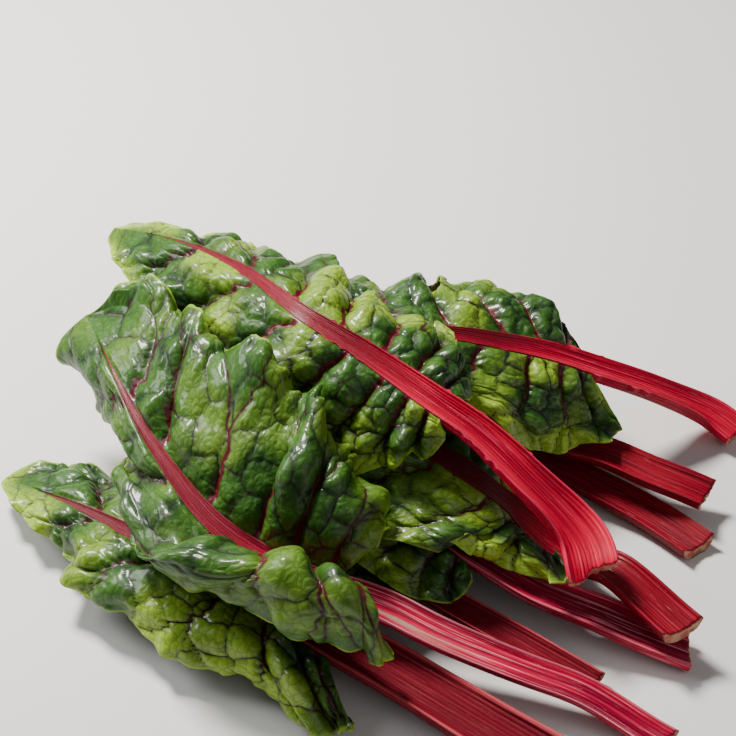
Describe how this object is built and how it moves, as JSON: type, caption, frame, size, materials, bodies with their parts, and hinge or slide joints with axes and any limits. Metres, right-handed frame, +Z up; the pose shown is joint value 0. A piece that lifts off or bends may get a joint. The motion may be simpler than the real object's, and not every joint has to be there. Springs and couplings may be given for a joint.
{
  "type": "red-stalked chard bunch",
  "caption": "Loose bunch of crinkled dark green leaves with broad ribbed crimson stalks and midribs, lying flat on a table, leaf tips to one side and cut stalk ends fanned to the other.",
  "frame": {"origin": "middle of the part's box, on the table it lies on", "axes": "+X from the leaf tips to the cut stalk ends, +Z up from the table"},
  "size_m": [0.4361, 0.3478, 0.1246],
  "materials": {
    "stalk": "crisp plant stalk, crimson, semi-gloss and ribbed lengthways",
    "blade": "waxy puckered leaf, dark green with crimson veins, glossy on the bulges"
  },
  "bodies": {
    "root": {"leaf_1_stalk": "stalk", "leaf_1_blade": "blade", "leaf_2_stalk": "stalk", "leaf_2_blade": "blade", "leaf_3_stalk": "stalk", "leaf_3_blade": "blade", "leaf_4_stalk": "stalk", "leaf_4_blade": "blade", "leaf_5_stalk": "stalk", "leaf_5_blade": "blade", "leaf_6_stalk": "stalk", "leaf_6_blade": "blade", "leaf_7_stalk": "stalk", "leaf_7_blade": "blade", "leaf_8_stalk": "stalk", "leaf_8_blade": "blade", "leaf_9_stalk": "stalk", "leaf_9_blade": "blade"}
  },
  "joints": []
}
